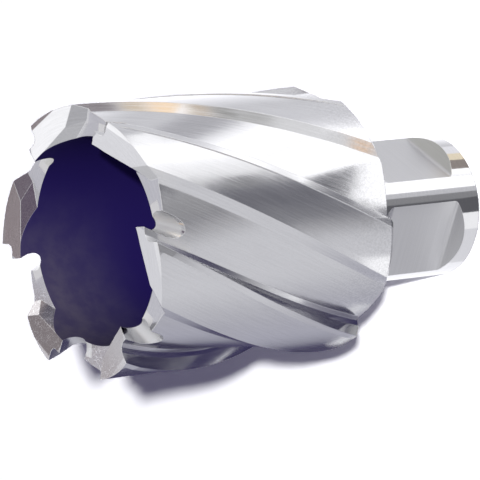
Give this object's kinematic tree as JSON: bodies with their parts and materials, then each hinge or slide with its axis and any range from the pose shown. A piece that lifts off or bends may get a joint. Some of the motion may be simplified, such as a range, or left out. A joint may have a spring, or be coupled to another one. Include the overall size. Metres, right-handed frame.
{
  "type": "annular cutter",
  "caption": "One-piece steel annular hole cutter with helical teeth round a hollow cup and a plain round shank with drive flats.",
  "frame": {"origin": "centre of the shank's end face, at the bottom of the part", "axes": "+Z along the cutter's axis from the shank to the open mouth; +X toward the outer leading corner of one tooth at the mouth"},
  "size_m": [0.036, 0.036, 0.06],
  "materials": {
    "cutter": "bright ground steel, with a dark oxide bore"
  },
  "bodies": {
    "root": {"cutter": "cutter"}
  },
  "joints": []
}
